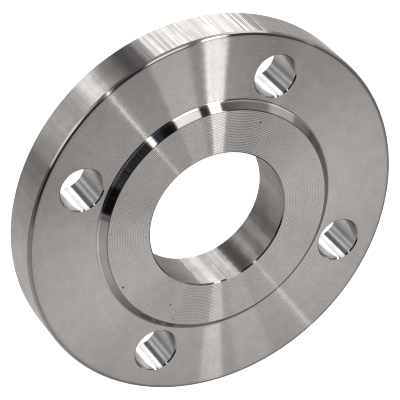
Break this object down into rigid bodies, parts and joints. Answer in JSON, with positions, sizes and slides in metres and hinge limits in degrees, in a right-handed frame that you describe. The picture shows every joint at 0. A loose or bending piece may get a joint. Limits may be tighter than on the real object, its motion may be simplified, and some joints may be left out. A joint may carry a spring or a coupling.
{
  "type": "slip on flange",
  "caption": "Flat slip-on pipe flange turned from steel plate, with a plain bore that is welded over the pipe, drilled bolt holes and a raised, serrated sealing face with a bevelled edge.",
  "frame": {"origin": "centre of the bore at the flange's flat back face", "axes": "+Z along the bore axis towards the raised sealing face; bolt holes straddle +X and +Y"},
  "size_m": [0.16, 0.16, 0.022],
  "materials": {
    "turned_steel": "turned stainless steel, fine concentric tool marks, polished bevel, drilled holes"
  },
  "bodies": {
    "root": {"slip_on_flange": "turned_steel"}
  },
  "joints": []
}
